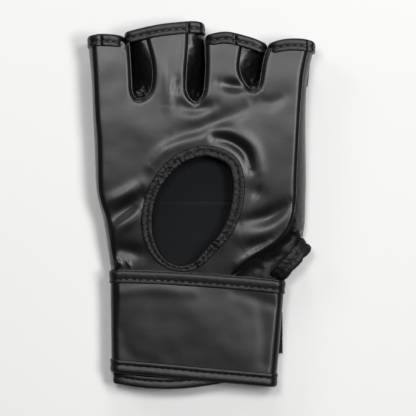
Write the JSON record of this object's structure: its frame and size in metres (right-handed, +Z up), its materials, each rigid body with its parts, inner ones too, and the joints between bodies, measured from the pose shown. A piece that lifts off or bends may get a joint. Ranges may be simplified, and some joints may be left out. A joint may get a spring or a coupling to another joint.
{
  "type": "grappling glove",
  "caption": "Open-palm grappling glove, right hand, with short open finger stalls, padded back, elastic-bound palm opening, thumb opening and wrap-around wrist strap.",
  "frame": {"origin": "middle of the bounding box's footprint, on the surface that the padded back lies on", "axes": "+X towards the thumb and index finger side, +Y towards the fingertips, +Z up out of the palm"},
  "size_m": [0.1368, 0.2222, 0.0289],
  "materials": {
    "leather": "smooth satin black synthetic leather",
    "binding": "folded black tape edge, single stitched",
    "elastic": "gathered black elastic covered in soft leather",
    "lining": "matt black knitted lining",
    "foam": "closed-cell padding, hidden",
    "hook_tape": "black hook and loop tape"
  },
  "bodies": {
    "hand": {"palm_panel": "leather", "palm_hole_binding": "elastic", "little_side_strip": "leather", "index_side_strip": "leather", "finger_web_1": "leather", "finger_web_2": "leather", "finger_web_3": "leather", "back_panel": "leather", "knuckle_foam": "foam", "lining_upper": "lining", "lining_lower": "lining", "thumb_opening_binding": "elastic", "palm_cuff": "leather", "back_cuff": "leather", "cuff_binding": "binding", "strap_anchor_panel": "leather", "strap_anchor_upper_binding": "binding", "strap_anchor_lower_binding": "binding", "loop_patch": "hook_tape"},
    "little_finger": {"little_palm_face": "leather", "little_left_wall": "leather", "little_right_wall": "leather", "little_back_cover": "leather", "little_foam": "foam", "little_lining": "lining", "little_binding": "binding"},
    "ring_finger": {"ring_palm_face": "leather", "ring_left_wall": "leather", "ring_right_wall": "leather", "ring_back_cover": "leather", "ring_foam": "foam", "ring_lining": "lining", "ring_binding": "binding"},
    "middle_finger": {"middle_palm_face": "leather", "middle_left_wall": "leather", "middle_right_wall": "leather", "middle_back_cover": "leather", "middle_foam": "foam", "middle_lining": "lining", "middle_binding": "binding"},
    "index_finger": {"index_palm_face": "leather", "index_left_wall": "leather", "index_right_wall": "leather", "index_back_cover": "leather", "index_foam": "foam", "index_lining": "lining", "index_binding": "binding"},
    "strap_palm": {"strap_palm_panel": "leather", "strap_palm_upper_binding": "binding", "strap_palm_lower_binding": "binding"},
    "strap_side": {"strap_side_panel": "leather", "strap_side_upper_binding": "binding", "strap_side_lower_binding": "binding"},
    "strap_tab": {"strap_tab_panel": "leather", "strap_tab_upper_binding": "binding", "strap_tab_lower_binding": "binding", "hook_patch": "hook_tape"}
  },
  "joints": [
    {"name": "little_bend", "type": "hinge", "parent": "hand", "child": "little_finger", "pos_m": [-0.0545, 0.072, 0.0279], "axis": [1, 0, 0], "range_deg": [0, 60]},
    {"name": "ring_bend", "type": "hinge", "parent": "hand", "child": "ring_finger", "pos_m": [-0.021, 0.072, 0.0279], "axis": [1, 0, 0], "range_deg": [0, 60]},
    {"name": "middle_bend", "type": "hinge", "parent": "hand", "child": "middle_finger", "pos_m": [0.0205, 0.072, 0.0279], "axis": [1, 0, 0], "range_deg": [0, 60]},
    {"name": "index_bend", "type": "hinge", "parent": "hand", "child": "index_finger", "pos_m": [0.052, 0.072, 0.0279], "axis": [1, 0, 0], "range_deg": [0, 60]},
    {"name": "strap_open", "type": "hinge", "parent": "hand", "child": "strap_palm", "pos_m": [0.04609, -0.07739, 0.02289], "axis": [0.0909, 0.9959, 0], "range_deg": [0, 72]},
    {"name": "strap_unroll_side", "type": "hinge", "parent": "strap_palm", "child": "strap_side", "pos_m": [-0.05319, -0.0693, 0.02289], "axis": [-0.0194, 0.9998, 0], "range_deg": [0, 90]},
    {"name": "strap_unroll_tab", "type": "hinge", "parent": "strap_side", "child": "strap_tab", "pos_m": [-0.05319, -0.0693, 0.00161], "axis": [-0.0194, 0.9998, 0], "range_deg": [0, 90]}
  ],
  "couplings": [
    {"joint": "strap_unroll_side", "follows": "strap_open", "ratio": 1.25},
    {"joint": "strap_unroll_tab", "follows": "strap_open", "ratio": 1.25}
  ]
}
